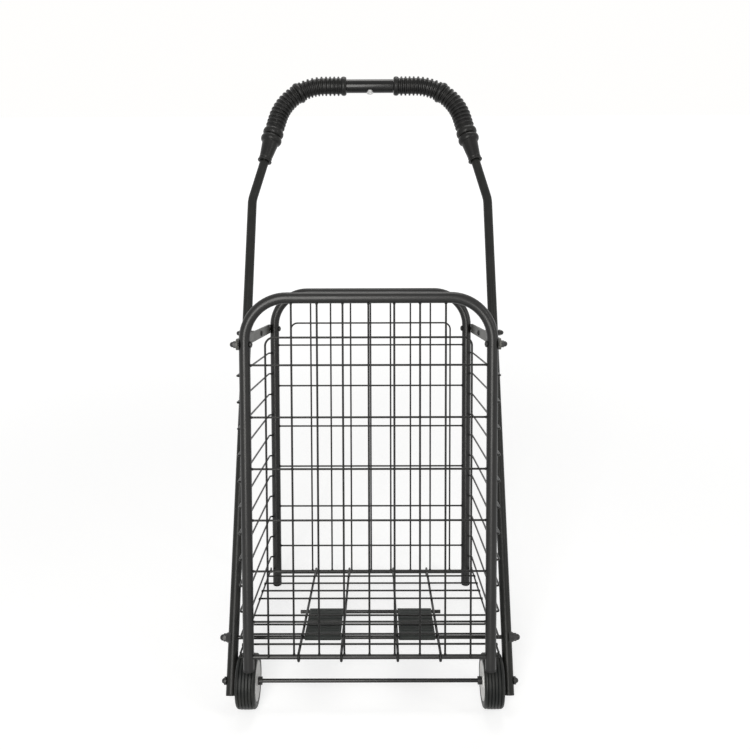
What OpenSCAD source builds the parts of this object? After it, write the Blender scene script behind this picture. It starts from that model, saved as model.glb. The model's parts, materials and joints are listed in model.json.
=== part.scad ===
// Folding shopping trolley: a wire basket between two tube frames, which folds
// as a parallelogram, with a leaning push handle that carries the axle.
// Millimetres. The basket is drawn upright in its own frame: X to the right,
// Y from the front frame to the rear frame, Z up from the top tube's centre.
// stand() then tips it onto its wheels and rear feet, on the ground at Z = 0.

/* [Basket frames] */
// Distance between the leg centres of one frame
basket_w = 352; // [300:1:440]
// Distance between the front and the rear frame
basket_d = 350; // [320:1:420]
// From the top tube's centre down to the tube ends
leg_len = 540; // [530:1:640]
// Outer diameter of the frame and handle tubes
tube_d = 16; // [14:0.5:20]
// Wall of the tubes
tube_wall = 1.2; // [0.8:0.1:2]
// Bend radius of the top corners, at the tube's centre
corner_r = 60; // [40:1:75]

/* [Panel wires] */
// Diameter of the panel and side wires
wire_d = 3; // [2.4:0.1:3.6]
// Spacing of the upright wires
upright_pitch = 36.6; // [30:0.1:37.5]
// Upright wires that reach the top tube
upright_count = 7; // [5:2:7]
// Drop of the hoop's top wire below the top tube
hoop_drop = 56; // [45:1:60]
// Drop of the first cross wire below the top tube
row_drop = 96; // [85:1:100]
// Spacing of the cross wires
row_pitch = 75; // [65:1:78]
// Number of cross wires
row_count = 6; // [4:1:6]
// Diameter of the bottom rails
rail_d = 7; // [6:0.5:8]
// Drop of the rails below the top tube
rail_drop = 522; // [515:1:530]

/* [Side wires] */
// Number of pivoting wires on each side
side_count = 11; // [8:1:11]
// Drop of the first side wire below the top tube
side_drop = 111; // [100:1:115]
// Spacing of the side wires
side_pitch = 38.2; // [30:0.1:38.5]
// Space between a leg and the wire beside it
side_gap = 2; // [1:0.1:3]

/* [Straps and bolts] */
// Drop of the strap pins below the top tube
strap_drop = 66; // [60:1:75]
// Height of the flat straps
strap_h = 16; // [14:0.5:20]
// Thickness of the straps
strap_t = 3; // [2:0.1:4]
// Diameter of the bolts
bolt_d = 5; // [4:0.1:6]

/* [Floor mat] */
// Diameter of the lengthwise floor wires
long_d = 4; // [3:0.1:5]
// Distance of the inner pair of lengthwise wires from the middle
long_inner = 41; // [38:0.5:60]
// Distance of the outer pair of lengthwise wires from the middle
long_outer = 103; // [90:0.5:105]
// Distance of the first cross wire behind the front rail
floor_first = 22; // [18:1:30]
// Distance of the last cross wire before the rear rail
floor_last = 48; // [30:1:60]
// Positions across the floor, with the rod in the middle one
floor_count = 9; // [7:2:11]
// Diameter of the hinge rods under the floor
rod_d = 6; // [5:0.1:7]
// Thickness of the link plates
plate_t = 2.2; // [1.5:0.1:2.2]
// Wall of the plates' barrels round the rods
barrel_wall = 2.2; // [1.8:0.1:2.2]

/* [Handle] */
// Distance of the handle's pivot behind the front frame
pivot_back = 232; // [200:1:260]
// Lean of the handle away from the upright
lean = 20; // [17:0.5:22]
// Space between the straps and the handle tubes
handle_gap = 13.4; // [10:0.1:20]
// Handle top above its pivot, along the tubes
handle_top = 476; // [400:1:520]
// Length of the tubes below the pivot
handle_low = 565; // [562:1:600]
// Bend radius of the handle's top corners
handle_r = 88; // [70:1:95]
// Half of the straight length at the top
top_half = 83; // [78:1:90]
// Angle of the tubes' inward bend
inward = 14; // [12:0.5:18]
// Radius of the inward bend
inward_r = 60; // [40:1:80]
// Diameter of the centre sleeve
sleeve_d = 24.6; // [22:0.1:28]
// Length of the centre sleeve
sleeve_l = 86; // [70:1:90]

/* [Grips] */
// Diameter over the ribs
rib_d = 35; // [32:0.5:38]
// Diameter between the ribs
groove_d = 29; // [26:0.5:31]
// Spacing of the ribs
rib_pitch = 7.6; // [6.5:0.1:8]

/* [Wheels] */
// Diameter of the wheels
wheel_d = 80; // [70:1:86]
// Width of the tyres
wheel_w = 30; // [24:1:31]
// Diameter of the axle
axle_d = 6; // [5:0.1:7]
// Drop of the axle below the top tube
axle_drop = 580; // [575:1:584]
// Angle of the basket when the trolley stands by itself
tilt = 14; // [12:0.1:15]

/* [Fits] */
// Space left at a weld
weld_gap = 0.02; // [0.01:0.01:0.05]
// Radial clearance of pins and shafts that turn
run_gap = 0.06; // [0.02:0.01:0.1]
// Space between parts that pass each other
pass_gap = 0.6; // [0.4:0.1:0.8]

/* [Hidden] */
$fn = 48;
e = 1;
leg_x = basket_w / 2;
tube_r = tube_d / 2;
wire_r = wire_d / 2;
rail_r = rail_d / 2;
leg_out = leg_x + tube_r;
side_x = leg_out + side_gap + wire_r;
pin_tip = leg_x + 1;
outer_upright = (upright_count - 1) / 2 * upright_pitch + upright_pitch;
strap_in = leg_out + pass_gap;
strap_out = strap_in + strap_t;
handle_x = strap_out + handle_gap + tube_r;
loop_r = rail_r + run_gap + long_d / 2;
long_z = -rail_drop + loop_r;
cross_z = long_z + long_d / 2 + wire_r + weld_gap;
mid_rod_z = long_z - long_d / 2 - rod_d / 2 - weld_gap;
floor_pitch = (basket_d - floor_first - floor_last) / (floor_count - 1);
mid_rod_y = floor_first + floor_pitch * (floor_count - 1) / 2;
front_rod_z = mid_rod_z - pass_gap;
front_rod_y = pivot_back - (-front_rod_z - strap_drop) * tan(lean);
front_rod_s = -(-front_rod_z - strap_drop) / cos(lean);
axle_s = -(axle_drop - strap_drop) / cos(lean);
axle_y = pivot_back + axle_s * sin(lean);
slope_l = (handle_x - top_half - handle_r * cos(inward) - inward_r * (1 - cos(inward))) / sin(inward);
corner_s = handle_top - handle_r;
bend_s = corner_s + handle_r * sin(inward) - slope_l * cos(inward);
arc_l = handle_r * (90 - inward) * PI / 180;
wheel_x = handle_x - tube_r - 2 - wheel_w / 2;
tyre_in = 29;
sole_z = (axle_y - basket_d) * -tan(tilt) - axle_drop - wheel_d / 2 / cos(tilt);
ground = axle_y * sin(tilt) + axle_drop * cos(tilt) + wheel_d / 2;
reach_front = -tube_r * cos(tilt) - (leg_len + 3) * sin(tilt);
reach_back = (pivot_back + handle_top * sin(lean)) * cos(tilt)
    + (handle_top * cos(lean) - strap_drop) * sin(tilt) + rib_d / 2;
middle_y = (reach_front + reach_back) / 2;

// ---------- frames of reference ----------

module stand() translate([0, -middle_y, ground]) rotate([-tilt, 0, 0]) children();

// Puts children at the handle's pivot, with Z up along the handle tubes
module on_handle() translate([0, pivot_back, -strap_drop]) rotate([-lean, 0, 0]) children();

module both_sides() {
    children();
    mirror([1, 0, 0]) children();
}

// A round bar along X between two places
module bar_x(x0, x1, r) translate([x0, 0, 0]) rotate([0, 90, 0]) cylinder(h = x1 - x0, r = r);

// ---------- tube frames ----------

module corner(r, bend_r) rotate_extrude(angle = 90) translate([bend_r, 0]) circle(r);

// The hairpin of one frame, as a solid bar of radius r
module hairpin(r, extra) {
    straight = leg_x - corner_r;
    bar_x(-straight, straight, r);
    both_sides() {
        translate([straight, 0, -corner_r]) rotate([90, 0, 0]) corner(r, corner_r);
        translate([leg_x, 0, -leg_len - extra]) cylinder(h = leg_len + extra - corner_r, r = r);
    }
}

module frame_tube() difference() {
    hairpin(tube_r, 0);
    hairpin(tube_r - tube_wall, e);
    both_sides() {
        for (i = [0 : side_count - 1])
            translate([0, 0, -side_drop - i * side_pitch]) bar_x(leg_x, leg_out + e, wire_r + run_gap);
        translate([0, 0, -rail_drop]) bar_x(leg_x, leg_out + e, wire_r + run_gap);
        translate([0, 0, -strap_drop]) bar_x(leg_x - tube_r - e, leg_out + e, bolt_d / 2 + weld_gap);
    }
}

module leg_space() both_sides()
    translate([leg_x, 0, -leg_len - e]) cylinder(h = leg_len + e, r = tube_r + weld_gap);

module rail() difference() {
    translate([0, 0, -rail_drop]) bar_x(-leg_x, leg_x, rail_r);
    leg_space();
}

module rail_space() translate([0, 0, -rail_drop]) bar_x(-leg_x, leg_x, rail_r + weld_gap);

module uprights() difference() {
    last = (upright_count - 1) / 2;
    for (i = [-last : last])
        translate([i * upright_pitch, 0, -rail_drop]) cylinder(h = rail_drop, r = wire_r);
    rail_space();
    bar_x(-leg_x, leg_x, tube_r + weld_gap);
}

// The outer uprights and the wire that joins them are one bent hoop
module hoop_wire(inside) translate([0, -inside * (wire_d + weld_gap), 0]) difference() {
    r = 12;
    union() {
        translate([0, 0, -hoop_drop]) bar_x(-outer_upright + r, outer_upright - r, wire_r);
        both_sides() {
            translate([outer_upright - r, 0, -hoop_drop - r]) rotate([90, 0, 0]) corner(wire_r, r);
            translate([outer_upright, 0, -rail_drop])
                cylinder(h = rail_drop - hoop_drop - r, r = wire_r);
        }
    }
    translate([0, inside * (wire_d + weld_gap), 0]) rail_space();
}

module cross_wires(inside) translate([0, inside * (wire_d + weld_gap), 0]) difference() {
    for (i = [0 : row_count - 1])
        translate([0, 0, -row_drop - i * row_pitch]) bar_x(-leg_x, leg_x, wire_r);
    translate([0, -inside * (wire_d + weld_gap), 0]) leg_space();
}

module plug(depth) translate([0, 0, -leg_len]) cylinder(h = depth, r = tube_r - tube_wall - weld_gap);

module front_cap() {
    plug(12);
    translate([0, 0, -leg_len - 3]) cylinder(h = 3 - weld_gap, r = tube_r);
    translate([0, 0, -leg_len - 1]) cylinder(h = 2, r = tube_r - tube_wall - weld_gap);
}

// The rear feet end in the plane of the ground
module rear_foot() difference() {
    union() {
        plug(12);
        translate([0, 0, -leg_len - 14]) cylinder(h = 14 - weld_gap, r = tube_r);
        translate([0, 0, -leg_len - 1]) cylinder(h = 2, r = tube_r - tube_wall - weld_gap);
    }
    translate([0, 0, sole_z]) rotate([tilt, 0, 0]) translate([-20, -20, -30]) cube([40, 40, 30]);
}

// ---------- bolts ----------

module bolt_head(x) translate([x, 0, 0]) rotate([0, -90, 0]) intersection() {
    cylinder(h = 3.4, r = bolt_d * 0.95);
    translate([0, 0, -3.6]) sphere(r = 7);
}

module acorn_nut(x) translate([x, 0, 0]) rotate([0, 90, 0]) difference() {
    union() {
        cylinder(h = 4, r = bolt_d, $fn = 6);
        cylinder(h = 5, r = bolt_d * 0.8);
        translate([0, 0, 5]) sphere(r = bolt_d * 0.8);
    }
    translate([0, 0, -e]) cylinder(h = e + 6, r = bolt_d / 2 + weld_gap);
}

module strap_bolt() translate([0, 0, -strap_drop]) {
    bolt_head(leg_x - tube_r - weld_gap);
    bar_x(leg_x - tube_r - weld_gap, strap_out + 0.3 + 5, bolt_d / 2);
}

module strap_nut() translate([0, 0, -strap_drop]) acorn_nut(strap_out + 0.3);

// ---------- straps and side wires ----------

module strap() difference() {
    translate([strap_in, 0, -strap_drop]) rotate([0, 90, 0]) {
        translate([-strap_h / 2, 0, 0]) cube([strap_h, basket_d, strap_t]);
        cylinder(h = strap_t, r = strap_h / 2);
        translate([0, basket_d, 0]) cylinder(h = strap_t, r = strap_h / 2);
    }
    for (y = [0, pivot_back, basket_d])
        translate([0, y, -strap_drop]) bar_x(strap_in - e, strap_out + e, bolt_d / 2 + run_gap);
}

// A bar along Y at side_x with both ends bent inwards as pins
module staple(drop) translate([0, 0, -drop]) {
    r = 4;
    translate([side_x, r, 0]) rotate([-90, 0, 0]) cylinder(h = basket_d - 2 * r, r = wire_r);
    translate([side_x - r, r, 0]) rotate([0, 0, -90]) corner(wire_r, r);
    translate([side_x - r, basket_d - r, 0]) corner(wire_r, r);
    for (y = [0, basket_d]) translate([0, y, 0]) bar_x(pin_tip, side_x - r, wire_r);
}

module side_wires(level) color("#1b1b1b")
    if (level < side_count) stand() both_sides() staple(side_drop + level * side_pitch);

// ---------- floor ----------

// Each lengthwise wire lies on both rails and is curled round them
module long_wire(x) translate([x, 0, 0]) {
    curl = 250;
    translate([0, 0, long_z]) rotate([-90, 0, 0]) cylinder(h = basket_d, r = long_d / 2);
    translate([0, 0, -rail_drop]) rotate([0, 90, 0]) rotate([0, 0, 180])
        rotate_extrude(angle = curl) translate([loop_r, 0]) circle(long_d / 2);
    translate([0, basket_d, -rail_drop]) rotate([0, 90, 0]) rotate([0, 0, 180 - curl])
        rotate_extrude(angle = curl) translate([loop_r, 0]) circle(long_d / 2);
}

module floor_cross(y) translate([0, y, cross_z]) bar_x(-side_x - wire_r, side_x + wire_r, wire_r);

// The edge wires lie level with the lengthwise wires and step down to pins in the legs
module edge_wire() {
    edge_z = long_z + (long_d - wire_d) / 2;
    post_r = wire_r + 0.1;
    translate([side_x, 0, edge_z]) rotate([-90, 0, 0]) cylinder(h = basket_d, r = wire_r);
    for (y = [0, basket_d]) translate([0, y, 0]) {
        translate([side_x, 0, -rail_drop - post_r])
            cylinder(h = edge_z + rail_drop + 2 * post_r, r = post_r);
        translate([0, 0, -rail_drop]) bar_x(pin_tip, side_x, wire_r);
    }
}

// A barrel closed round the rear rod, a plate, and a hook open below on the front rod
module link_plate() {
    x0 = long_inner + long_d / 2 + 1.5;
    w = long_outer - long_inner - long_d - 3;
    outer = rod_d / 2 + run_gap + barrel_wall;
    under = mid_rod_z + rod_d / 2 + 0.3;
    difference() {
        union() {
            translate([x0, front_rod_y, under]) cube([w, mid_rod_y - front_rod_y, plate_t]);
            translate([0, mid_rod_y, mid_rod_z]) bar_x(x0, x0 + w, outer);
            intersection() {
                translate([0, front_rod_y, front_rod_z]) bar_x(x0, x0 + w, outer + pass_gap);
                translate([x0 - e, front_rod_y - 20, front_rod_z - 2.5]) cube([w + 2 * e, 20, 30]);
            }
            for (i = [1 : 9])
                translate([0, front_rod_y + i * (mid_rod_y - front_rod_y) / 10, under + plate_t - 0.1])
                    bar_x(x0 + 3, x0 + w - 3, 0.8);
        }
        translate([0, mid_rod_y, mid_rod_z]) bar_x(x0 - e, x0 + w + e, rod_d / 2 + run_gap);
        translate([0, front_rod_y, front_rod_z]) bar_x(x0 - e, x0 + w + e, rod_d / 2 + 0.3);
        translate([x0 - e, front_rod_y - 0.01, front_rod_z - 20])
            cube([w + 2 * e, 12, 20 + rod_d / 2 + 0.3]);
        translate([x0 - e, front_rod_y - 30, under + plate_t]) cube([w + 2 * e, 30 - e, 20]);
    }
}

// ---------- handle ----------

// The right half of the handle's path as a solid bar
module handle_bar(r, x0, extra) rotate([90, 0, 0]) translate([top_half, corner_s, 0]) {
    translate([x0 - top_half, handle_r, 0]) rotate([0, 90, 0]) cylinder(h = top_half - x0, r = r);
    rotate([0, 0, 90]) rotate_extrude(angle = inward - 90) translate([handle_r, 0]) circle(r);
    rotate([0, 0, inward]) translate([handle_r, 0, 0]) {
        rotate([90, 0, 0]) cylinder(h = slope_l, r = r);
        translate([-inward_r, -slope_l, 0]) {
            rotate_extrude(angle = -inward) translate([inward_r, 0]) circle(r);
            rotate([0, 0, -inward]) translate([inward_r, 0, 0]) rotate([90, 0, 0])
                cylinder(h = bend_s - inward_r * sin(inward) + handle_low + extra, r = r);
        }
    }
}

module ring() difference() {
    circle(tube_r);
    circle(tube_r - tube_wall);
}

// Top length, corner with its slope, and the leg with its bend, butted end to end
module handle_tube() on_handle() {
    rotate([90, 0, 0]) translate([top_half, corner_s, 0]) {
        translate([3.5 - top_half, handle_r, 0]) rotate([0, 90, 0])
            linear_extrude(top_half - 3.5 - weld_gap) ring();
        rotate([0, 0, inward]) {
            rotate_extrude(angle = 90 - inward) translate([handle_r, 0]) ring();
            translate([handle_r, 0, 0]) rotate([90, 0, 0]) linear_extrude(slope_l - weld_gap) ring();
        }
    }
    difference() {
        rotate([90, 0, 0]) translate([handle_x - inward_r, bend_s - inward_r * sin(inward), 0]) {
            rotate_extrude(angle = inward) translate([inward_r, 0]) ring();
            translate([inward_r, 0, 0]) rotate([90, 0, 0])
                linear_extrude(bend_s - inward_r * sin(inward) + handle_low) ring();
        }
        bar_x(leg_x, handle_x + 20, bolt_d / 2 + run_gap);
        translate([0, 0, front_rod_s]) bar_x(leg_x, handle_x + 20, rod_d / 2 + weld_gap);
        translate([0, 0, axle_s]) bar_x(leg_x, handle_x + 20, axle_d / 2 + weld_gap);
    }
}

// A place on the handle's path, l along it from the corner's start, Z along the path
module along(l) rotate([90, 0, 0]) {
    turned = max(0, min(l / arc_l, 1)) * (90 - inward);
    past = max(l - arc_l, 0);
    translate([top_half + handle_r * sin(turned), corner_s + handle_r * cos(turned), 0])
        rotate([0, 0, -turned]) translate([min(l, 0) + past, 0, 0]) rotate([0, 90, 0]) children();
}

// Ribbed grip with beads, from the sleeve's end to the tapered cuff
module grip() on_handle() difference() {
    first = sleeve_l / 2 - top_half + 9;
    mid_bead = first + 10.6 * rib_pitch;
    end_bead = mid_bead + 12.8 * rib_pitch;
    union() {
        intersection() {
            handle_bar(groove_d / 2, sleeve_l / 2 + 0.3, 0);
            translate([0, -50, bend_s + 50]) cube([400, 100, 500]);
        }
        for (i = [0 : 9]) along(first + (i + 0.6) * rib_pitch) cylinder(h = 3.4, r = rib_d / 2);
        for (i = [0 : 10]) along(mid_bead + (i + 0.9) * rib_pitch) cylinder(h = 3.4, r = rib_d / 2);
        along(first - 8) cylinder(h = 8, r = rib_d / 2);
        along(mid_bead - 4) cylinder(h = 9, r = rib_d / 2);
        along(end_bead - 5) cylinder(h = 12, r = rib_d / 2 + 0.5);
        along(end_bead + 9) cylinder(h = 12, r = rib_d / 2 + 0.5);
        along(end_bead + 21) cylinder(h = 36, r1 = rib_d / 2 - 2, r2 = tube_r + 3);
        along(end_bead + 57) cylinder(h = 3, r = tube_r + 5);
    }
    handle_bar(tube_r + weld_gap, 0, 0);
}

module tube_cap() on_handle() translate([handle_x, 0, -handle_low]) {
    translate([0, 0, -2.5]) cylinder(h = 2.5 - weld_gap, r = tube_r);
    translate([0, 0, -1]) cylinder(h = 9, r = tube_r - tube_wall - weld_gap);
}

// Cup washer shaped to the tube's round side
module saddle() on_handle() translate([0, 0, front_rod_s]) difference() {
    translate([handle_x + 3, 0, 0]) rotate([0, 90, 0]) cylinder(h = 8, r1 = 10.5, r2 = 6.5);
    translate([handle_x, 0, -20]) cylinder(h = 40, r = tube_r + weld_gap);
    bar_x(handle_x, handle_x + 20, rod_d / 2 + weld_gap);
}

module rod_nut() on_handle() translate([handle_x + 11 + weld_gap, 0, front_rod_s])
    rotate([0, 90, 0]) difference() {
        union() {
            cylinder(h = 4, r = 6, $fn = 6);
            cylinder(h = 5, r = 4.8);
            translate([0, 0, 5]) sphere(r = 4.8);
        }
        translate([0, 0, -e]) cylinder(h = e + 6, r = rod_d / 2 + weld_gap);
    }

// ---------- wheels ----------

module at_wheel() on_handle() translate([wheel_x, 0, axle_s]) rotate([0, 90, 0]) children();

module tyre() at_wheel() rotate_extrude() difference() {
    translate([tyre_in, -wheel_w / 2]) square([wheel_d / 2 - tyre_in, wheel_w]);
    for (i = [-2 : 2]) translate([wheel_d / 2, i * 4.8]) circle(0.9);
    for (s = [-1, 1]) translate([wheel_d / 2, s * wheel_w / 2]) rotate(45) square(6, center = true);
    translate([tyre_in, 0]) square([2 * 1.5, wheel_w - 12], center = true);
}

module hub() at_wheel() rotate_extrude() {
    depth = wheel_w / 2 - 2;
    translate([tyre_in - 3, -depth]) square([3 - weld_gap, 2 * depth]);
    translate([tyre_in - 3, -(wheel_w - 12) / 2 + weld_gap])
        square([4.5 - weld_gap, wheel_w - 12 - 2 * weld_gap]);
    translate([8, -2]) square([tyre_in - 10, 4]);
    translate([axle_d / 2 + run_gap, -wheel_w / 2]) square([6, wheel_w]);
}

module collar(x) on_handle() translate([0, 0, axle_s]) difference() {
    bar_x(x, x + 6, axle_d / 2 + 3);
    bar_x(x - e, x + 7, axle_d / 2 + weld_gap);
}

module axle_cap() on_handle() translate([0, 0, axle_s]) difference() {
    union() {
        bar_x(handle_x + tube_r + weld_gap, handle_x + tube_r + 3, 6);
        translate([handle_x + tube_r + 3, 0, 0]) sphere(r = 4.2);
    }
    bar_x(0, handle_x + tube_r + 4, axle_d / 2 + weld_gap);
    bar_x(0, handle_x + tube_r + weld_gap, 8);
}

// ---------- sub-parts ----------

module front_frame_tube() color("#141414") stand() frame_tube();
module front_rail() color("#141414") stand() rail();
module front_uprights() color("#1b1b1b") stand() uprights();
module front_hoop_wire() color("#1b1b1b") stand() hoop_wire(1);
module front_cross_wires() color("#1b1b1b") stand() cross_wires(1);
module front_leg_caps() color("#202020") stand() both_sides() translate([leg_x, 0, 0]) front_cap();
module front_strap_bolts() color("#2a2a2a") stand() both_sides() strap_bolt();
module front_strap_nuts() color("#2a2a2a") stand() both_sides() strap_nut();

module at_rear() stand() translate([0, basket_d, 0]) children();
module rear_frame_tube() color("#141414") at_rear() frame_tube();
module rear_rail() color("#141414") at_rear() rail();
module rear_uprights() color("#1b1b1b") at_rear() uprights();
module rear_hoop_wire() color("#1b1b1b") at_rear() hoop_wire(-1);
module rear_cross_wires() color("#1b1b1b") at_rear() cross_wires(-1);
module rear_feet() color("#202020") at_rear() both_sides() translate([leg_x, 0, 0]) rear_foot();
module rear_strap_bolts() color("#2a2a2a") at_rear() both_sides() strap_bolt();
module rear_strap_nuts() color("#2a2a2a") at_rear() both_sides() strap_nut();

module top_straps() color("#8d8f8c") stand() both_sides() strap();
module handle_pivot_bolts() color("#2a2a2a") on_pivot() {
    bolt_head(strap_in - weld_gap);
    bar_x(strap_in - weld_gap, handle_x + tube_r + 0.3 + 5, bolt_d / 2);
}
module handle_pivot_nuts() color("#2a2a2a") on_pivot() acorn_nut(handle_x + tube_r + 0.3);
module handle_pivot_spacers() color("#2a2a2a") on_pivot() difference() {
    bar_x(strap_out + weld_gap, handle_x - tube_r - 0.3, bolt_d / 2 + 2);
    bar_x(strap_out - e, handle_x, bolt_d / 2 + weld_gap);
}
module on_pivot() stand() both_sides() translate([0, pivot_back, -strap_drop]) children();

module side_wires_01() side_wires(0);
module side_wires_02() side_wires(1);
module side_wires_03() side_wires(2);
module side_wires_04() side_wires(3);
module side_wires_05() side_wires(4);
module side_wires_06() side_wires(5);
module side_wires_07() side_wires(6);
module side_wires_08() side_wires(7);
module side_wires_09() side_wires(8);
module side_wires_10() side_wires(9);
module side_wires_11() side_wires(10);

module floor_long_wires() color("#1b1b1b") stand()
    for (x = [-long_outer, -long_inner, long_inner, long_outer]) long_wire(x);
module floor_cross_wires() color("#1b1b1b") stand()
    for (i = [0 : floor_count - 1])
        if (i != (floor_count - 1) / 2) floor_cross(floor_first + i * floor_pitch);
module floor_edge_wires() color("#1b1b1b") stand() both_sides() edge_wire();
module floor_center_rod() color("#1b1b1b") stand()
    translate([0, mid_rod_y, mid_rod_z]) bar_x(-long_outer - 12, long_outer + 12, rod_d / 2);
module floor_link_plates() color("#262626") stand() both_sides() link_plate();

module handle_tube_left() color("#1a1a1a") stand() mirror([1, 0, 0]) handle_tube();
module handle_tube_right() color("#1a1a1a") stand() handle_tube();
module handle_joiner() color("#555555") stand() on_handle() translate([0, 0, handle_top])
    difference() {
        bar_x(-30, 30, tube_r - tube_wall - weld_gap);
        translate([0, 0, -tube_r]) cylinder(h = tube_r + 3, r = 2 + weld_gap);
    }
module handle_sleeve() color("#101010") stand() on_handle() translate([0, 0, handle_top])
    difference() {
        bar_x(-sleeve_l / 2, sleeve_l / 2, sleeve_d / 2);
        bar_x(-sleeve_l, sleeve_l, tube_r + weld_gap);
        translate([0, 0, -sleeve_d]) cylinder(h = sleeve_d, r = 2 + weld_gap);
    }
module handle_screw() color("#c9c9c9") stand() on_handle() translate([0, 0, handle_top]) {
    translate([0, 0, -sleeve_d / 2]) cylinder(h = sleeve_d / 2 + 2, r = 2);
    difference() {
        translate([0, 0, -sleeve_d / 2 - 2]) cylinder(h = 3.2, r = 6);
        bar_x(-20, 20, sleeve_d / 2 + weld_gap);
        for (a = [0, 90]) rotate([0, 0, a])
            translate([-4, -0.6, -sleeve_d / 2 - 3]) cube([8, 1.2, 2]);
    }
}
module grip_left() color("#1e1e1e") stand() mirror([1, 0, 0]) grip();
module grip_right() color("#1e1e1e") stand() grip();
module handle_tube_caps() color("#202020") stand() both_sides() tube_cap();

module pivot_rod() color("#1b1b1b") stand() on_handle()
    translate([0, 0, front_rod_s]) bar_x(-handle_x - 16, handle_x + 16, rod_d / 2);
module pivot_saddles() color("#1b1b1b") stand() both_sides() saddle();
module pivot_rod_nuts() color("#2a2a2a") stand() both_sides() rod_nut();
module axle_rod() color("#303030") stand() on_handle()
    translate([0, 0, axle_s]) bar_x(-handle_x - tube_r - 3, handle_x + tube_r + 3, axle_d / 2);
module axle_end_caps() color("#2a2a2a") stand() both_sides() axle_cap();
module axle_collars() color("#151515") stand() both_sides() collar(wheel_x - wheel_w / 2 - 6.3);

module wheel_left_tyre() color("#171717") stand() mirror([1, 0, 0]) tyre();
module wheel_left_hub() color("#e6e6e4") stand() mirror([1, 0, 0]) hub();
module wheel_right_tyre() color("#171717") stand() tyre();
module wheel_right_hub() color("#e6e6e4") stand() hub();

front_frame_tube();
front_rail();
front_uprights();
front_hoop_wire();
front_cross_wires();
front_leg_caps();
front_strap_bolts();
front_strap_nuts();
rear_frame_tube();
rear_rail();
rear_uprights();
rear_hoop_wire();
rear_cross_wires();
rear_feet();
rear_strap_bolts();
rear_strap_nuts();
top_straps();
handle_pivot_bolts();
handle_pivot_nuts();
handle_pivot_spacers();
side_wires_01();
side_wires_02();
side_wires_03();
side_wires_04();
side_wires_05();
side_wires_06();
side_wires_07();
side_wires_08();
side_wires_09();
side_wires_10();
side_wires_11();
floor_long_wires();
floor_cross_wires();
floor_edge_wires();
floor_center_rod();
floor_link_plates();
handle_tube_left();
handle_tube_right();
handle_joiner();
handle_sleeve();
handle_screw();
grip_left();
grip_right();
handle_tube_caps();
pivot_rod();
pivot_saddles();
pivot_rod_nuts();
axle_rod();
axle_end_caps();
axle_collars();
wheel_left_tyre();
wheel_left_hub();
wheel_right_tyre();
wheel_right_hub();
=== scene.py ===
import bpy, bmesh, json, math
from mathutils import Matrix, Vector


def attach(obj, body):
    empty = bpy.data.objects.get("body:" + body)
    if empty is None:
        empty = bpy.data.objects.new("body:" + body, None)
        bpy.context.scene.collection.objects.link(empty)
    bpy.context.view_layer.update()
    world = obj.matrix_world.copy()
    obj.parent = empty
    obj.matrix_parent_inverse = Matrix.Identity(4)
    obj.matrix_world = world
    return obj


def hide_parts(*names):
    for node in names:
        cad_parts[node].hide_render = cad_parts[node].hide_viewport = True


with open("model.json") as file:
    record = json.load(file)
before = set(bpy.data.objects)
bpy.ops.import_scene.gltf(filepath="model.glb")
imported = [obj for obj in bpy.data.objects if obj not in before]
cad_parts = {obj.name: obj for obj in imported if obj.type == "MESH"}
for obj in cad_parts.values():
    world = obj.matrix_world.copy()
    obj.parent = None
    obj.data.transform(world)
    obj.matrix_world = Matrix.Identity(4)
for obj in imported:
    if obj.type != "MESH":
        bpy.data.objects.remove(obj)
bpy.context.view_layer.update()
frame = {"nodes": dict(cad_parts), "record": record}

# Camera, lamps and floor
# The trolley stands on a wide pale floor that runs into a white world, seen from the wheel side
# at about chest height. None of this is part of the object.
camera_place = Vector((0.0129, -1.3162, 0.9308))
camera_pan, camera_pitch, camera_roll = (math.radians(angle) for angle in (0.183, 17.77, -0.217))
camera_data = bpy.data.cameras.new("camera")
camera_data.sensor_width = 36.0
camera_data.lens = 40.14
camera_data.shift_y = -0.06
camera = bpy.data.objects.new("camera", camera_data)
camera.matrix_world = (Matrix.Translation(camera_place) @ Matrix.Rotation(camera_pan, 4, "Z")
                       @ Matrix.Rotation(math.pi / 2 - camera_pitch, 4, "X")
                       @ Matrix.Rotation(camera_roll, 4, "Z"))
bpy.context.scene.collection.objects.link(camera)
bpy.context.scene.camera = camera
bpy.context.scene.view_settings.view_transform = "Standard"


def soft_lamp(name, place, aim, size, watts):
    lamp_data = bpy.data.lights.new(name, "AREA")
    lamp_data.shape = "RECTANGLE"
    lamp_data.size, lamp_data.size_y = size
    lamp_data.energy = watts
    lamp_data.color = (1.0, 0.985, 0.955)
    lamp = bpy.data.objects.new(name, lamp_data)
    lamp.location = place
    lamp.rotation_euler = (Vector(aim) - Vector(place)).to_track_quat("-Z", "Y").to_euler()
    bpy.context.scene.collection.objects.link(lamp)


soft_lamp("lamp_front", place=(-0.4, -2.2, 1.2), aim=(0, 0, 0.5), size=(0.8, 1.9), watts=42)
soft_lamp("lamp_right", place=(1.9, -1.2, 1.5), aim=(0, 0, 0.4), size=(0.35, 1.4), watts=7)
soft_lamp("lamp_back", place=(0.2, 1.1, 2.7), aim=(0, 0.1, 0.3), size=(1.4, 0.8), watts=14)


# 1 where the background is looked at, straight on, in a reflection or through something clear, else 0
def background_seen(tree):
    path = tree.nodes.new("ShaderNodeLightPath")
    total = path.outputs["Is Camera Ray"]
    for ray in ("Is Glossy Ray", "Is Transmission Ray"):
        either = tree.nodes.new("ShaderNodeMath")
        either.operation = "MAXIMUM"
        tree.links.new(total, either.inputs[0])
        tree.links.new(path.outputs[ray], either.inputs[1])
        total = either.outputs[0]
    return total


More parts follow.
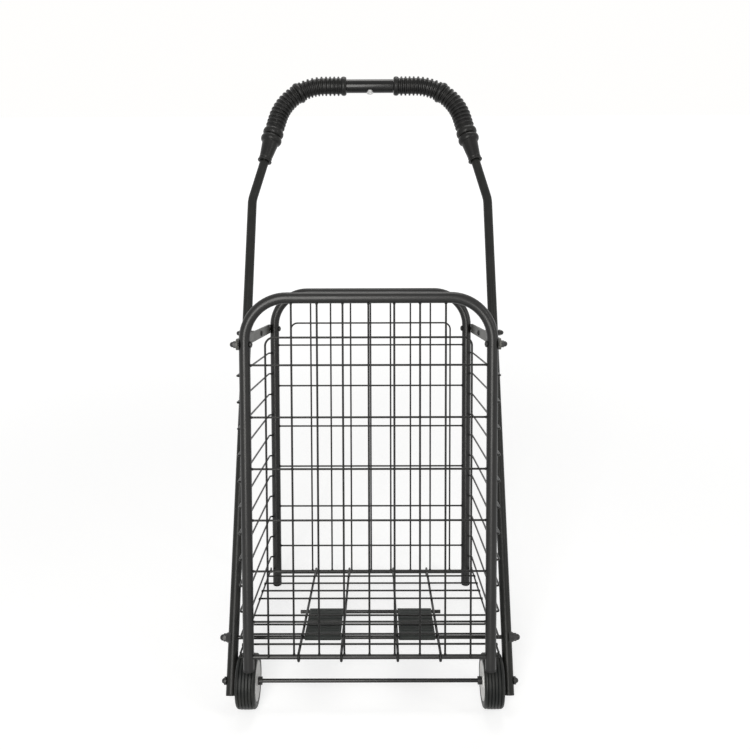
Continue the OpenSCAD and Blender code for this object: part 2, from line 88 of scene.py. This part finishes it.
world = bpy.data.worlds.new("studio")
world.use_nodes = True
background = world.node_tree.nodes["Background"]
background.inputs["Color"].default_value = (1.0, 0.995, 0.985, 1)
light_shed, light_seen = 0.22, 1.0
world_level = world.node_tree.nodes.new("ShaderNodeMapRange")
world_level.inputs["To Min"].default_value = light_shed
world_level.inputs["To Max"].default_value = light_seen
world.node_tree.links.new(background_seen(world.node_tree), world_level.inputs["Value"])
world.node_tree.links.new(world_level.outputs["Result"], background.inputs["Strength"])
bpy.context.scene.world = world

floor_reach = 14.0
floor_corners = [(-floor_reach, -floor_reach, 0), (floor_reach, -floor_reach, 0),
                 (floor_reach, floor_reach, 0), (-floor_reach, floor_reach, 0)]
floor_mesh = bpy.data.meshes.new("studio_floor")
floor_mesh.from_pydata(floor_corners, [], [(0, 1, 2, 3)])
studio_floor = bpy.data.objects.new("studio_floor", floor_mesh)
bpy.context.scene.collection.objects.link(studio_floor)
floor_finish = bpy.data.materials.new("floor_white")
floor_finish.use_nodes = True
floor_nodes = floor_finish.node_tree.nodes
floor_links = floor_finish.node_tree.links
floor_shader = floor_nodes["Principled BSDF"]
floor_shader.inputs["Base Color"].default_value = (0.5, 0.505, 0.51, 1)
floor_shader.inputs["Roughness"].default_value = 0.8
floor_shader.inputs["Emission Color"].default_value = (1, 1, 1, 1)
# The lift grows away from the trolley, where the lamps fade, so that the floor runs into the white world
fade_start, fade_end = 0.5, 3.2
lift_near, lift_far = 0.66, 0.94
floor_place = floor_nodes.new("ShaderNodeTexCoord")
floor_distance = floor_nodes.new("ShaderNodeVectorMath")
floor_distance.operation = "LENGTH"
lift_range = floor_nodes.new("ShaderNodeMapRange")
lift_range.interpolation_type = "SMOOTHSTEP"
lift_range.inputs["From Min"].default_value = fade_start
lift_range.inputs["From Max"].default_value = fade_end
lift_range.inputs["To Min"].default_value = lift_near
lift_range.inputs["To Max"].default_value = lift_far
lift = floor_nodes.new("ShaderNodeMath")
lift.operation = "MULTIPLY"
floor_links.new(floor_place.outputs["Object"], floor_distance.inputs[0])
floor_links.new(floor_distance.outputs["Value"], lift_range.inputs["Value"])
floor_links.new(background_seen(floor_finish.node_tree), lift.inputs[0])
floor_links.new(lift_range.outputs["Result"], lift.inputs[1])
floor_links.new(lift.outputs[0], floor_shader.inputs["Emission Strength"])
floor_mesh.materials.append(floor_finish)

# Tube frames and bottom rails
# Bent 16 mm steel tube and 7 mm rod, welded and then powder coated in gloss black.
# The coat has a faint orange peel and gathers fine dust.


def effect_group(name, inputs, outputs):
    tree = bpy.data.node_groups.new(name, "ShaderNodeTree")
    for socket_name, kind, value in inputs:
        socket = tree.interface.new_socket(socket_name, in_out="INPUT", socket_type=kind)
        socket.default_value = value
    for socket_name, kind in outputs:
        tree.interface.new_socket(socket_name, in_out="OUTPUT", socket_type=kind)
    return tree, tree.nodes.new("NodeGroupInput"), tree.nodes.new("NodeGroupOutput")


# Fine unevenness of a coat or moulding: a varied colour, a varied roughness and a bumped normal
coat_tree, coat_in, coat_out = effect_group(
    "surface_variation",
    [("Color", "NodeSocketColor", (0.01, 0.01, 0.01, 1)), ("Dust", "NodeSocketColor", (0.1, 0.1, 0.09, 1)),
     ("Dust Amount", "NodeSocketFloat", 0.1), ("Roughness", "NodeSocketFloat", 0.3),
     ("Roughness Spread", "NodeSocketFloat", 0.1), ("Grain Scale", "NodeSocketFloat", 900.0),
     ("Grain Height", "NodeSocketFloat", 0.1)],
    [("Color", "NodeSocketColor"), ("Roughness", "NodeSocketFloat"), ("Normal", "NodeSocketVector")])
coat_place = coat_tree.nodes.new("ShaderNodeTexCoord")
patches = coat_tree.nodes.new("ShaderNodeTexNoise")
patches.inputs["Scale"].default_value = 38.0
patches.inputs["Detail"].default_value = 5.0
grain = coat_tree.nodes.new("ShaderNodeTexNoise")
grain.inputs["Detail"].default_value = 2.0
patch_range = coat_tree.nodes.new("ShaderNodeMapRange")
patch_range.inputs["From Min"].default_value = 0.42
patch_range.inputs["From Max"].default_value = 0.72
dust_share = coat_tree.nodes.new("ShaderNodeMath")
dust_share.operation = "MULTIPLY"
dust_mix = coat_tree.nodes.new("ShaderNodeMix")
dust_mix.data_type = "RGBA"
spread = coat_tree.nodes.new("ShaderNodeMath")
spread.operation = "MULTIPLY_ADD"
grain_bump = coat_tree.nodes.new("ShaderNodeBump")
grain_bump.inputs["Distance"].default_value = 0.0004
link = coat_tree.links.new
link(coat_place.outputs["Object"], patches.inputs["Vector"])
link(coat_place.outputs["Object"], grain.inputs["Vector"])
link(coat_in.outputs["Grain Scale"], grain.inputs["Scale"])
link(patches.outputs["Fac"], patch_range.inputs["Value"])
link(patch_range.outputs["Result"], dust_share.inputs[0])
link(coat_in.outputs["Dust Amount"], dust_share.inputs[1])
link(dust_share.outputs[0], dust_mix.inputs["Factor"])
link(coat_in.outputs["Color"], dust_mix.inputs["A"])
link(coat_in.outputs["Dust"], dust_mix.inputs["B"])
link(patches.outputs["Fac"], spread.inputs[0])
link(coat_in.outputs["Roughness Spread"], spread.inputs[1])
link(coat_in.outputs["Roughness"], spread.inputs[2])
link(grain.outputs["Fac"], grain_bump.inputs["Height"])
link(coat_in.outputs["Grain Height"], grain_bump.inputs["Strength"])
link(dust_mix.outputs["Result"], coat_out.inputs["Color"])
link(spread.outputs[0], coat_out.inputs["Roughness"])
link(grain_bump.outputs["Normal"], coat_out.inputs["Normal"])


def finish(name, color, roughness, spread, dust, grain_scale, grain_height,
           metallic=0.0, coat=0.0, specular=0.25, dust_color=(0.16, 0.155, 0.14)):
    material = bpy.data.materials.new(name)
    material.use_nodes = True
    shader = material.node_tree.nodes["Principled BSDF"]
    surface = material.node_tree.nodes.new("ShaderNodeGroup")
    surface.node_tree = coat_tree
    surface.inputs["Color"].default_value = (*color, 1)
    surface.inputs["Dust"].default_value = (*dust_color, 1)
    surface.inputs["Dust Amount"].default_value = dust
    surface.inputs["Roughness"].default_value = roughness
    surface.inputs["Roughness Spread"].default_value = spread
    surface.inputs["Grain Scale"].default_value = grain_scale
    surface.inputs["Grain Height"].default_value = grain_height
    for output, target in (("Color", "Base Color"), ("Roughness", "Roughness"), ("Normal", "Normal")):
        material.node_tree.links.new(surface.outputs[output], shader.inputs[target])
    shader.inputs["Metallic"].default_value = metallic
    shader.inputs["Specular IOR Level"].default_value = specular
    shader.inputs["Coat Weight"].default_value = coat
    shader.inputs["Coat Roughness"].default_value = 0.08
    return material


def give(material, *node_names):
    for node_name in node_names:
        cad = frame["nodes"][node_name]
        if not cad.material_slots:
            cad.data.materials.append(material)
        for slot in cad.material_slots:
            slot.material = material


frame_paint = finish("frame_gloss_black", (0.0022, 0.0022, 0.002), roughness=0.29, spread=0.1, dust=0.02,
                     grain_scale=700, grain_height=0.08, specular=0.4)
give(frame_paint, "front_frame_tube", "rear_frame_tube", "front_rail", "rear_rail")

# Panel, side and floor wires
# Drawn 3 and 4 mm steel wire, spot welded where the panel and floor wires cross, and coated in black.
# The side wires are staples whose bent ends turn in holes in the tubes.
wire_paint = finish("wire_black", (0.003, 0.003, 0.0027), roughness=0.26, spread=0.14, dust=0.03,
                    grain_scale=1200, grain_height=0.1)
wire_nodes = [name for name in frame["nodes"]
              if "upright" in name or "hoop_wire" in name or "cross_wires" in name
              or name.startswith("side_wires") or name in ("floor_long_wires", "floor_edge_wires")]
give(wire_paint, *wire_nodes)

# Centre, pivot and axle rods
# Straight 6 mm steel rod with a glossier black coat: the floor mat's centre rod, the rod on which
# the link plates hook, and the axle.
rod_paint = finish("rod_black", (0.003, 0.003, 0.0027), roughness=0.22, spread=0.12, dust=0.03,
                   grain_scale=900, grain_height=0.08, coat=0.2)
give(rod_paint, "floor_center_rod", "pivot_rod", "axle_rod")

# Weld beads
# Each place where two panel or floor wires cross is spot welded, which leaves a small pressed bead.
# The beads are balls a little thicker than the wires, sunk into both of them.
basket_turn = math.radians(-14)
strap_drop = 0.066
joint_place = {joint["name"]: Vector(joint["pos_m"]) for joint in frame["record"]["behaviour"]["joints"]}
basket_frame = (Matrix.Translation(joint_place["basket_fold"]) @ Matrix.Rotation(basket_turn, 4, "X")
                @ Matrix.Translation((0, 0, strap_drop)))


def node_tree(name, sizes):
    tree = bpy.data.node_groups.new(name, "GeometryNodeTree")
    tree.interface.new_socket("Geometry", in_out="INPUT", socket_type="NodeSocketGeometry")
    for socket_name, kind, value in sizes:
        socket = tree.interface.new_socket(socket_name, in_out="INPUT", socket_type=kind)
        if value is not None:
            socket.default_value = value
    tree.interface.new_socket("Geometry", in_out="OUTPUT", socket_type="NodeSocketGeometry")
    return tree, tree.nodes.new("NodeGroupInput"), tree.nodes.new("NodeGroupOutput")


def realized(tree, tree_in, tree_out, instances):
    """Ends a node tree: makes the instances plain and gives them the tree's material."""
    real = tree.nodes.new("GeometryNodeRealizeInstances")
    paint = tree.nodes.new("GeometryNodeSetMaterial")
    tree.links.new(instances.outputs["Instances"], real.inputs["Geometry"])
    tree.links.new(real.outputs["Geometry"], paint.inputs["Geometry"])
    tree.links.new(tree_in.outputs["Material"], paint.inputs["Material"])
    tree.links.new(paint.outputs["Geometry"], tree_out.inputs["Geometry"])


def points_mesh(name, places):
    mesh = bpy.data.meshes.new(name)
    mesh.from_pydata([tuple(place) for place in places], [], [])
    return mesh


def baked(name, mesh, tree, values):
    """Runs a node tree on a mesh and returns the result as a plain object."""
    start = bpy.data.objects.new(name + "_start", mesh)
    bpy.context.scene.collection.objects.link(start)
    modifier = start.modifiers.new("shape", "NODES")
    modifier.node_group = tree
    for item in tree.interface.items_tree:
        if item.item_type == "SOCKET" and item.in_out == "INPUT" and item.name in values:
            modifier[item.identifier] = values[item.name]
    evaluated = start.evaluated_get(bpy.context.evaluated_depsgraph_get())
    result = bpy.data.meshes.new_from_object(evaluated)
    result.name = name
    bpy.data.objects.remove(start)
    made = bpy.data.objects.new(name, result)
    bpy.context.scene.collection.objects.link(made)
    return made


bead_tree, bead_in, bead_out = node_tree(
    "weld_beads", [("Radius", "NodeSocketFloat", 0.002), ("Material", "NodeSocketMaterial", None)])
bead = bead_tree.nodes.new("GeometryNodeMeshIcoSphere")
bead.inputs["Subdivisions"].default_value = 2
bead_at = bead_tree.nodes.new("GeometryNodeInstanceOnPoints")
bead_tree.links.new(bead_in.outputs["Radius"], bead.inputs["Radius"])
bead_tree.links.new(bead_in.outputs["Geometry"], bead_at.inputs["Points"])
bead_tree.links.new(bead.outputs["Mesh"], bead_at.inputs["Instance"])
realized(bead_tree, bead_in, bead_out, bead_at)

# Places on a panel, across from its middle and down from its top tube's centre
bead_radius, wire_radius, basket_depth = 0.0021, 0.0015, 0.350
upright_pitch, upright_columns = 0.0366, range(-3, 4)
row_count, first_row, row_pitch = 6, 0.096, 0.075
row_end, leg_face, rail_drop = 0.1676, 0.168, 0.522
tube_foot, hoop_drop, rail_crown = 0.0083, 0.056, 0.5181
hoop_side, hoop_depth, hoop_foot = 0.1464, 0.0028, 0.5186


def panel_welds(depth, inside):
    places = []
    for row in range(row_count):
        height = -first_row - row_pitch * row
        for column in upright_columns:
            places.append((upright_pitch * column, depth + inside * wire_radius, height))
        for side in (-1, 1):
            places.append((side * row_end, depth + inside * 2 * wire_radius, height))
    for column in upright_columns:
        places.append((upright_pitch * column, depth - inside * wire_radius, -hoop_drop))
        places.append((upright_pitch * column, depth, -rail_crown))
        places.append((upright_pitch * column, depth, -tube_foot))
    for side in (-1, 1):
        places.append((side * hoop_side, depth - inside * hoop_depth, -hoop_foot))
        places.append((side * leg_face, depth, -rail_drop))
    return [basket_frame @ Vector(place) for place in places]


# Places on the floor mat, back from the front rail; the centre rod takes the place of the middle cross wire
long_wires, edge_wires = (-0.103, -0.041, 0.041, 0.103), (-0.1875, 0.1875)
first_cross, cross_pitch, cross_count, rod_row = 0.022, 0.035, 9, 4
cross_drop, rod_drop = 0.5144, 0.5184


def floor_welds():
    places = [(across, first_cross + cross_pitch * row, -cross_drop)
              for row in range(cross_count) if row != rod_row
              for across in long_wires + edge_wires]
    places += [(across, first_cross + cross_pitch * rod_row, -rod_drop) for across in long_wires]
    return [basket_frame @ Vector(place) for place in places]


for bead_name, body, places in (("front_weld_beads", "front_frame", panel_welds(0.0, 1)),
                                ("rear_weld_beads", "rear_frame", panel_welds(basket_depth, -1)),
                                ("floor_weld_beads", "floor_mat", floor_welds())):
    beads = baked(bead_name, points_mesh(bead_name, places), bead_tree,
                  {"Radius": bead_radius, "Material": wire_paint})
    for face in beads.data.polygons:
        face.use_smooth = True
    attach(beads, body)

# Top straps
# Flat 3 mm steel straps with round ends, in a dark grey coat that is dustier than the tubes.
# They turn on the strap bolts and carry the handle's pivot bolts.
strap_paint = finish("strap_grey", (0.1, 0.1, 0.092), roughness=0.36, spread=0.15, dust=0.2,
                     grain_scale=600, grain_height=0.15)
give(strap_paint, "top_straps")

# Bolts, nuts, washers and collars
# Small turned and pressed steel parts in black: domed bolts, acorn nuts, spacers, cup washers, the
# axle's caps and collars, and the joiner inside the handle.
bolt_steel = finish("bolt_black", (0.01, 0.01, 0.01), roughness=0.3, spread=0.15, dust=0.06,
                    grain_scale=1500, grain_height=0.1, specular=0.4)
give(bolt_steel, "front_strap_bolts", "front_strap_nuts", "rear_strap_bolts", "rear_strap_nuts",
     "handle_pivot_bolts", "handle_pivot_nuts", "handle_pivot_spacers", "pivot_saddles",
     "pivot_rod_nuts", "axle_end_caps", "axle_collars", "handle_joiner")

# Caps and feet
# Moulded black polyethylene plugs, slightly waxy, pushed into the ends of the tubes.
# The rear feet are longer and stand flat on the ground.
cap_plastic = finish("cap_black", (0.01, 0.01, 0.01), roughness=0.46, spread=0.12, dust=0.06,
                     grain_scale=2200, grain_height=0.25)
give(cap_plastic, "front_leg_caps", "rear_feet", "handle_tube_caps")

# Link plates
# Two ribbed plates moulded in black polypropylene, with a barrel round the centre rod and a hook on
# the pivot rod. Their face has a fine spark-eroded texture.
plate_plastic = finish("plate_black", (0.017, 0.021, 0.0195), roughness=0.46, spread=0.15, dust=0.1,
                       grain_scale=2600, grain_height=0.35)
give(plate_plastic, "floor_link_plates")

# Handle tubes, sleeve and screw
# Bent tube in a duller black, joined under a gloss sleeve by one cross-head screw from below.
# The screw is bare zinc-plated steel.
handle_paint = finish("handle_matt_black", (0.006, 0.0065, 0.0056), roughness=0.32, spread=0.12, dust=0.04,
                      grain_scale=1400, grain_height=0.12)
give(handle_paint, "handle_tube_left", "handle_tube_right")
sleeve_gloss = finish("sleeve_gloss_black", (0.003, 0.003, 0.003), roughness=0.12, spread=0.05, dust=0.02,
                      grain_scale=500, grain_height=0.04, coat=0.1)
give(sleeve_gloss, "handle_sleeve")
screw_zinc = finish("screw_zinc", (0.66, 0.66, 0.65), roughness=0.28, spread=0.2, dust=0.1,
                    grain_scale=900, grain_height=0.1, metallic=1.0)
give(screw_zinc, "handle_screw")

# Ribbed grips
# One soft moulding on each side, slid over the bent tube: an end bead, ten ribs, a bead at the corner,
# eleven ribs, two heavy beads and a tapered cuff with a small flange.
handle_lean = math.radians(-34)
handle_frame = Matrix.Translation(joint_place["handle_turn"]) @ Matrix.Rotation(handle_lean, 4, "X")
handle_top, corner_r, top_half = 0.476, 0.088, 0.083
slope = math.radians(14)
corner_length = corner_r * (math.pi / 2 - slope)


def handle_path(length):
    """The place and direction on the right handle tube, measured from where its corner starts."""
    turned = min(max(length, 0.0), corner_length) / corner_r
    past = max(length - corner_length, 0.0) + min(length, 0.0)
    way = Vector((math.cos(turned), 0, -math.sin(turned)))
    place = Vector((top_half + corner_r * math.sin(turned), 0,
                    handle_top - corner_r + corner_r * math.cos(turned)))
    return place + way * past, way


grip_start, first_rib = -0.0395, -0.031
top_rib_count, side_rib_count = 10, 11
rib_pitch, rib_middle, rib_half = 0.0076, 0.0017, 0.0019
groove_radius, rib_rise = 0.0143, 0.0031
corner_bead = first_rib + 10.6 * rib_pitch
heavy_bead = corner_bead + 12.8 * rib_pitch
rib_places = [first_rib + (i + 0.6) * rib_pitch + rib_middle for i in range(top_rib_count)]
rib_places += [corner_bead + (i + 0.9) * rib_pitch + rib_middle for i in range(side_rib_count)]
# Each bead's middle, half of its length and its rise over the grooves
bead_places = [(-0.0345, 0.005, 0.0031), (corner_bead + 0.0013, 0.0051, 0.005),
               (heavy_bead + 0.001, 0.0068, 0.0045), (heavy_bead + 0.015, 0.0066, 0.0047)]
cuff_start, cuff_end = heavy_bead + 0.021, heavy_bead + 0.057
cuff_radius, cuff_taper = 0.0149, 0.0042
ring_place, ring_half, ring_rise = cuff_end - 0.004, 0.0015, 0.0007
flange_place, flange_half, flange_foot, flange_rise = cuff_end + 0.0015, 0.0016, 0.0104, 0.0024
grip_end = heavy_bead + 0.0598
grip_bore, grip_step, grip_around = 0.0081, 0.0005, 40


def grip_radius(length):
    radius = groove_radius
    for place in rib_places:
        reach = abs(length - place) / rib_half
        if reach < 1:
            radius = max(radius, groove_radius + rib_rise * (1 - reach ** 4) ** 0.5)
    for place, half, rise in bead_places:
        reach = abs(length - place) / half
        if reach < 1:
            radius = max(radius, groove_radius + rise * (1 - reach ** 2) ** 0.5)
    if length > cuff_start:
        share = min((length - cuff_start) / (cuff_end - cuff_start), 1.0)
        radius = cuff_radius - cuff_taper * share
        radius += ring_rise * max(0.0, 1 - abs(length - ring_place) / ring_half)
    if length > cuff_end:
        reach = abs(length - flange_place) / flange_half
        radius = max(radius, flange_foot + flange_rise * max(0.0, 1 - reach ** 4) ** 0.5)
    return radius


def lofted(name, rings):
    """A closed skin through rings of points, in which the last ring joins the first."""
    mesh = bmesh.new()
    corners = [[mesh.verts.new(point) for point in ring] for ring in rings]
    for first, second in zip(corners, corners[1:] + corners[:1]):
        for k in range(len(first)):
            after = (k + 1) % len(first)
            mesh.faces.new((first[k], first[after], second[after], second[k]))
    bmesh.ops.recalc_face_normals(mesh, faces=mesh.faces)
    data = bpy.data.meshes.new(name)
    mesh.to_mesh(data)
    mesh.free()
    for face in data.polygons:
        face.use_smooth = True
    return data


def piece(name, data, material):
    made = bpy.data.objects.new(name, data)
    data.materials.append(material)
    bpy.context.scene.collection.objects.link(made)
    return made


def grip_mesh(name, side):
    station_count = int((grip_end - grip_start) / grip_step) + 1
    stations = [grip_start + grip_step * i for i in range(station_count)]
    inner_wall = [(length, grip_bore) for length in stations[::8]] + [(stations[-1], grip_bore)]
    outer_wall = [(length, grip_radius(length)) for length in stations]
    rings = []
    for length, radius in outer_wall + inner_wall[::-1]:
        place, way = handle_path(length)
        out = Vector((-way.z, 0, way.x))
        ring = []
        for k in range(grip_around):
            angle = 2 * math.pi * k / grip_around
            at = place + out * (radius * math.cos(angle)) + Vector((0, radius * math.sin(angle), 0))
            at.x *= side
            ring.append(handle_frame @ at)
        rings.append(ring)
    return lofted(name, rings)


grip_rubber = finish("grip_black", (0.006, 0.006, 0.0058), roughness=0.26, spread=0.14, dust=0.04,
                     grain_scale=2400, grain_height=0.15)
for side_name, side in (("left", -1), ("right", 1)):
    grip_name = "ribbed_grip_" + side_name
    grip = piece(grip_name, grip_mesh(grip_name, side), grip_rubber)
    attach(grip, "handle")
    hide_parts("grip_" + side_name)

# Tyres
# Solid black rubber with six ribs round the tread and softly rounded shoulders, pressed on the hubs.
# A wheel is 80 mm high and its tyre 30 mm wide.
wheel_radius, tyre_bore, tyre_half, bore_half = 0.040, 0.029, 0.015, 0.013
crown_drop, shoulder_start, shoulder_drop = 0.0007, 0.0108, 0.0036
groove_half, groove_depth = 0.0009, 0.0013
groove_places = [0.0048 * i for i in range(-2, 3)]
tread_steps, tyre_around, tyre_crease = 100, 120, 40


def tread_radius(across):
    radius = wheel_radius - crown_drop * (across / tyre_half) ** 2
    shoulder = (abs(across) - shoulder_start) / (tyre_half - shoulder_start)
    if shoulder > 0:
        radius -= shoulder_drop * (1 - math.sqrt(max(0.0, 1 - shoulder ** 2)))
    for place in groove_places:
        reach = abs(across - place) / groove_half
        if reach < 1:
            radius -= groove_depth * (1 - reach ** 2)
    return radius


def turned_mesh(name, outline, centre, around, crease):
    """Turns a closed outline of (radius, across) about the axle, which lies along X."""
    angles = [2 * math.pi * k / around for k in range(around)]
    data = lofted(name, [[centre + Vector((across, radius * math.cos(a), radius * math.sin(a)))
                          for a in angles] for radius, across in outline])
    data.set_sharp_from_angle(angle=math.radians(crease))
    return data


tyre_rubber = finish("tyre_black", (0.006, 0.0072, 0.0066), roughness=0.38, spread=0.16, dust=0.1,
                     grain_scale=1800, grain_height=0.25)
tread = [tyre_half * (2 * i / tread_steps - 1) for i in range(tread_steps + 1)]
sidewall = [(0.0345, tyre_half), (0.0325, 0.0148), (0.0305, 0.0146), (tyre_bore + 0.0004, 0.0138)]
tyre_outline = [(tread_radius(across), across) for across in tread] + sidewall
tyre_outline += [(tyre_bore, bore_half), (tyre_bore, -bore_half)]
tyre_outline += [(radius, -across) for radius, across in reversed(sidewall)]
for side_name in ("left", "right"):
    centre = joint_place["wheel_%s_spin" % side_name]
    tyre_name = "ribbed_tyre_" + side_name
    tyre_mesh = turned_mesh(tyre_name, tyre_outline, centre, tyre_around, tyre_crease)
    tyre = piece(tyre_name, tyre_mesh, tyre_rubber)
    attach(tyre, "wheel_" + side_name)
    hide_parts("wheel_%s_tyre" % side_name)

# Hubs
# White moulded hubs. The inner face is a nearly flat dished disc; the outer face is open, with a boss
# and a rim joined by ribs.
hub_white = finish("hub_white", (0.88, 0.88, 0.865), roughness=0.36, spread=0.12, dust=0.05,
                   grain_scale=1500, grain_height=0.12, dust_color=(0.42, 0.41, 0.38))
rim_outer, rim_inner, rim_end, boss_radius, axle_bore = 0.0289, 0.0258, 0.0134, 0.0088, 0.0031
boss_half, web_face, hub_around, hub_crease = 0.0146, -0.0105, 96, 35
# The outline of (radius, out from the middle): inner face, rim, open side with its web, boss
inner_face = [(axle_bore, -boss_half), (0.0082, -boss_half), (0.009, -0.0141), (0.0097, -0.0133),
              (0.012, -0.0131), (0.018, -0.0134), (0.0235, -0.0139), (0.0262, -0.0143),
              (0.0275, -0.0147), (0.0285, -0.0147), (rim_outer, -0.0143)]
rim = [(rim_outer, rim_end - 0.0006), (rim_outer - 0.0006, rim_end), (rim_inner + 0.0005, rim_end),
       (rim_inner, rim_end - 0.0005)]
web = [(rim_inner - 0.0008, web_face + 0.0012), (rim_inner - 0.0022, web_face),
       (boss_radius + 0.0022, web_face), (boss_radius + 0.0006, web_face + 0.0012)]
boss = [(boss_radius, boss_half - 0.0006), (boss_radius - 0.0006, boss_half), (axle_bore, boss_half)]
rib_count, rib_depth, rib_thickness = 8, 0.0193, 0.0016
rib_out = web_face - 0.0003 + rib_depth / 2
rib_radius, rib_span = (boss_radius + rim_inner) / 2, rim_inner - boss_radius + 0.0008
rib_tree, ribs_in, ribs_out = node_tree(
    "hub_ribs",
    [("Size", "NodeSocketVector", (0.008, 0.0018, 0.015)), ("Material", "NodeSocketMaterial", None)])
rib_block = rib_tree.nodes.new("GeometryNodeMeshCube")
rib_at = rib_tree.nodes.new("GeometryNodeInstanceOnPoints")
rib_turn = rib_tree.nodes.new("GeometryNodeInputNamedAttribute")
rib_turn.data_type = "FLOAT_VECTOR"
rib_turn.inputs["Name"].default_value = "turn"
rib_tree.links.new(ribs_in.outputs["Size"], rib_block.inputs["Size"])
rib_tree.links.new(ribs_in.outputs["Geometry"], rib_at.inputs["Points"])
rib_tree.links.new(rib_block.outputs["Mesh"], rib_at.inputs["Instance"])
rib_tree.links.new(rib_turn.outputs["Attribute"], rib_at.inputs["Rotation"])
realized(rib_tree, ribs_in, ribs_out, rib_at)
rib_angles = [2 * math.pi * k / rib_count for k in range(rib_count)]
for side_name, side in (("left", -1), ("right", 1)):
    centre = joint_place["wheel_%s_spin" % side_name]
    outline = [(radius, side * out) for radius, out in inner_face + rim + web + boss]
    hub_name = "turned_hub_" + side_name
    hub = piece(hub_name, turned_mesh(hub_name, outline, centre, hub_around, hub_crease), hub_white)
    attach(hub, "wheel_" + side_name)
    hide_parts("wheel_%s_hub" % side_name)
    ribs_name = "hub_ribs_" + side_name
    spots = points_mesh(ribs_name, [centre + Vector((side * rib_out, rib_radius * math.cos(a),
                                                     rib_radius * math.sin(a))) for a in rib_angles])
    turn = spots.attributes.new("turn", "FLOAT_VECTOR", "POINT")
    for k, a in enumerate(rib_angles):
        turn.data[k].vector = (a, 0, 0)
    ribs = baked(ribs_name, spots, rib_tree,
                 {"Size": (rib_depth, rib_span, rib_thickness), "Material": hub_white})
    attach(ribs, "wheel_" + side_name)
